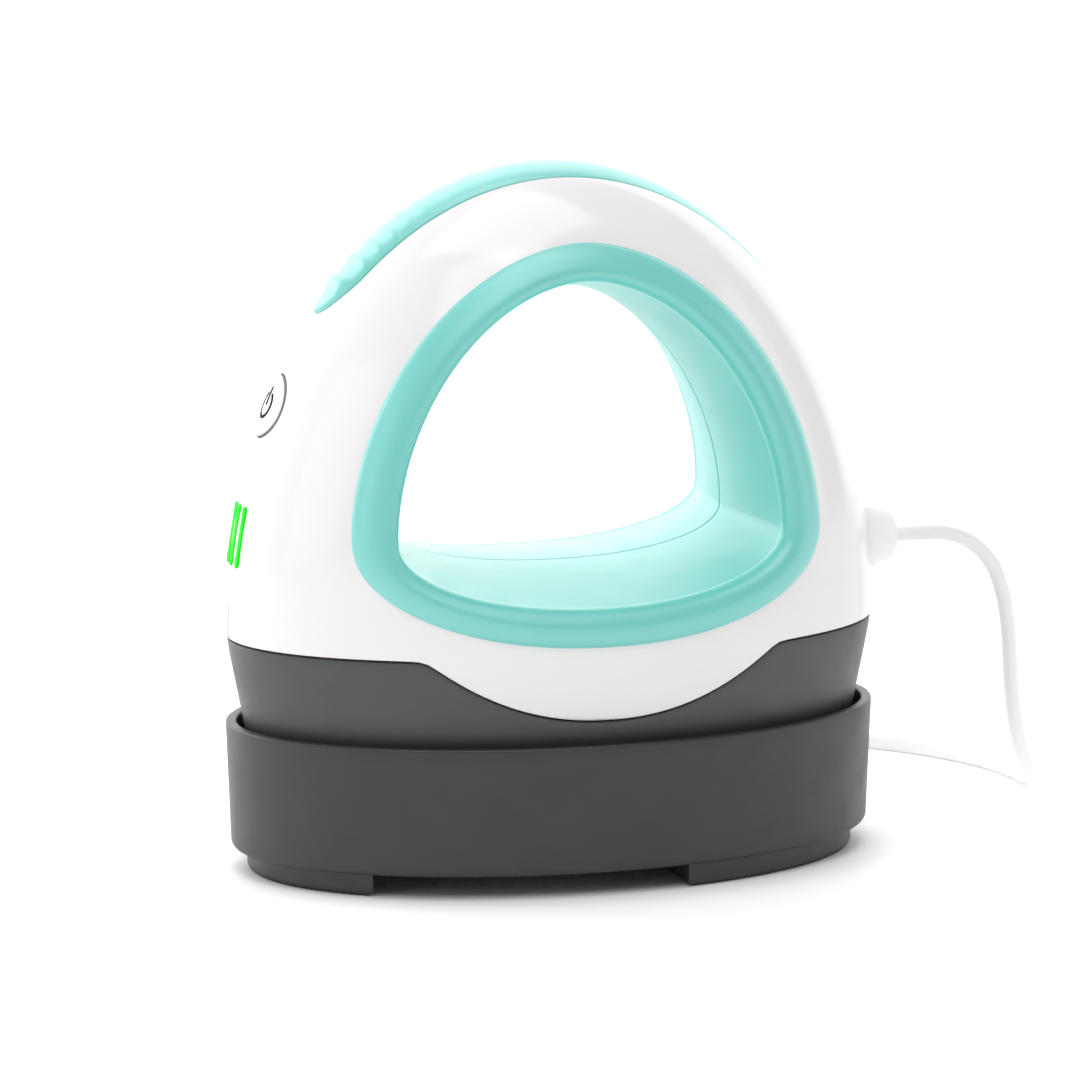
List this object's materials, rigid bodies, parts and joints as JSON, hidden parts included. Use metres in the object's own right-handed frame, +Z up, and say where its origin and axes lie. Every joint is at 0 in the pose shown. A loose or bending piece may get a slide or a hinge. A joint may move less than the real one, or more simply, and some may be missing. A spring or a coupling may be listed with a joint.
{
  "type": "mini handheld heat press",
  "caption": "Small hand-held heat press with a domed white body, teal grip round a finger opening, coated heat plate and an insulated rest tray; power button, light bars and mains cord",
  "frame": {"origin": "middle of the rest tray at the level of the surface it stands on, under the centre of the press", "axes": "+Z up; the nose with the button points to -X and the cord leaves towards +X; -Y is the side seen in the picture"},
  "size_m": [0.1694, 0.1279, 0.1313],
  "materials": {
    "tray_plastic": "fine satin texture",
    "rest_pad": "matte heat resistant silicone",
    "foot_rubber": "matte",
    "plate_coating": "fine speckled non-stick coating on cast aluminium",
    "element_steel": "drawn tube",
    "mica": "matte sheet",
    "zinc_steel": "zinc plated",
    "chassis_resin": "glass filled resin",
    "sensor_resin": "dipped bead",
    "fuse_metal": "plain",
    "shroud_plastic": "fine satin texture",
    "housing_white": "high gloss",
    "grip_teal": "soft touch, satin",
    "cap_teal": "soft touch, satin",
    "button_white": "satin gloss",
    "bar_green": "lit lens",
    "led_resin": "clear resin",
    "board_green": "solder mask",
    "switch_black": "moulded",
    "bracket_white": "moulded",
    "lead_red": "silicone sleeve",
    "lead_blue": "silicone sleeve",
    "relief_white": "satin",
    "cord_white": "satin",
    "plug_white": "satin",
    "blade_brass": "nickel plated brass"
  },
  "bodies": {
    "tray": {"base_tray": "tray_plastic", "rest_pad": "rest_pad", "foot_pads": "foot_rubber"},
    "press": {"heat_plate": "plate_coating", "heating_element": "element_steel", "insulation_pad": "mica", "plate_spacers": "zinc_steel", "chassis_plate": "chassis_resin", "plate_screws": "zinc_steel", "thermistor": "sensor_resin", "thermal_fuse": "fuse_metal", "heat_shroud": "shroud_plastic", "housing_left": "housing_white", "housing_right": "housing_white", "housing_screws": "zinc_steel", "liner_left": "grip_teal", "liner_right": "grip_teal", "top_cap": "cap_teal", "light_bars": "bar_green", "indicator_leds": "led_resin", "control_board": "board_green", "power_switch": "switch_black", "board_screws": "zinc_steel", "board_posts": "bracket_white", "heater_leads": "lead_red", "supply_leads": "lead_blue", "strain_relief": "relief_white", "cord_clamp": "bracket_white", "clamp_screws": "zinc_steel", "mains_cord": "cord_white", "cord_coil": "cord_white", "cord_tail": "cord_white", "plug_body": "plug_white", "plug_blades": "blade_brass"},
    "button": {"power_button": "button_white"}
  },
  "joints": [
    {"name": "lift_off", "type": "slide", "parent": "tray", "child": "press", "axis": [0, 0, 1], "range_m": [0, 0.045]},
    {"name": "button_press", "type": "slide", "parent": "press", "child": "button", "axis": [0.9232, 0, -0.3843], "range_m": [0, 0.0006], "stiffness_N_per_m": 500, "springref_m": -0.0008}
  ]
}
